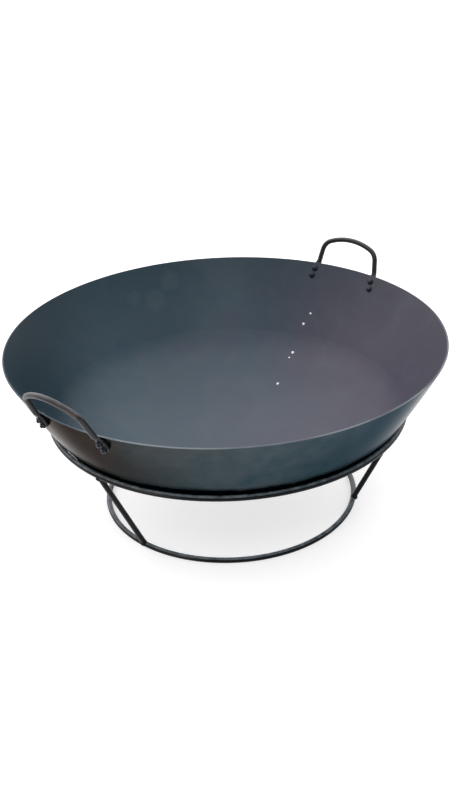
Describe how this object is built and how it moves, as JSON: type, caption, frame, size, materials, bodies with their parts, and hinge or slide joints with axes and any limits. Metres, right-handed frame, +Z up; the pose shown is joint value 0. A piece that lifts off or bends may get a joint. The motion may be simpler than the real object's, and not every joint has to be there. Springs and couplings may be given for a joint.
{
  "type": "fire bowl on a stand",
  "caption": "Wide dished steel bowl with two bolted bar handles, resting loose in a low stand of welded round bar.",
  "frame": {"origin": "on the bowl's axis, at the floor that the base ring stands on", "axes": "+Z up; +X through the middle of the right handle, with the left handle at -X; +Y completes the right-handed frame"},
  "size_m": [0.8617, 0.7998, 0.3964],
  "materials": {
    "bowl_sheet": "satin blue-black steel, smudged, with a worn bright rim edge",
    "handle_bar": "satin black with a grey sheen",
    "fastener": "satin black",
    "stand_bar": "satin black",
    "weld_bead": "painted weld, rippled"
  },
  "bodies": {
    "stand": {"stand_top_ring": "stand_bar", "stand_base_ring": "stand_bar", "stand_leg_left": "stand_bar", "stand_leg_front": "stand_bar", "stand_leg_back": "stand_bar", "left_leg_foot_weld": "weld_bead", "left_leg_top_weld": "weld_bead", "front_leg_foot_weld": "weld_bead", "front_leg_top_weld": "weld_bead", "back_leg_foot_weld": "weld_bead", "back_leg_top_weld": "weld_bead", "top_ring_butt_weld": "weld_bead", "base_ring_butt_weld": "weld_bead"},
    "bowl": {"bowl": "bowl_sheet", "left_handle": "handle_bar", "right_handle": "handle_bar", "left_handle_bolts": "fastener", "right_handle_bolts": "fastener", "left_handle_nuts": "fastener", "right_handle_nuts": "fastener"}
  },
  "joints": [
    {"name": "bowl_lift", "type": "slide", "parent": "stand", "child": "bowl", "axis": [0, 0, 1], "range_m": [0, 0.2]}
  ]
}
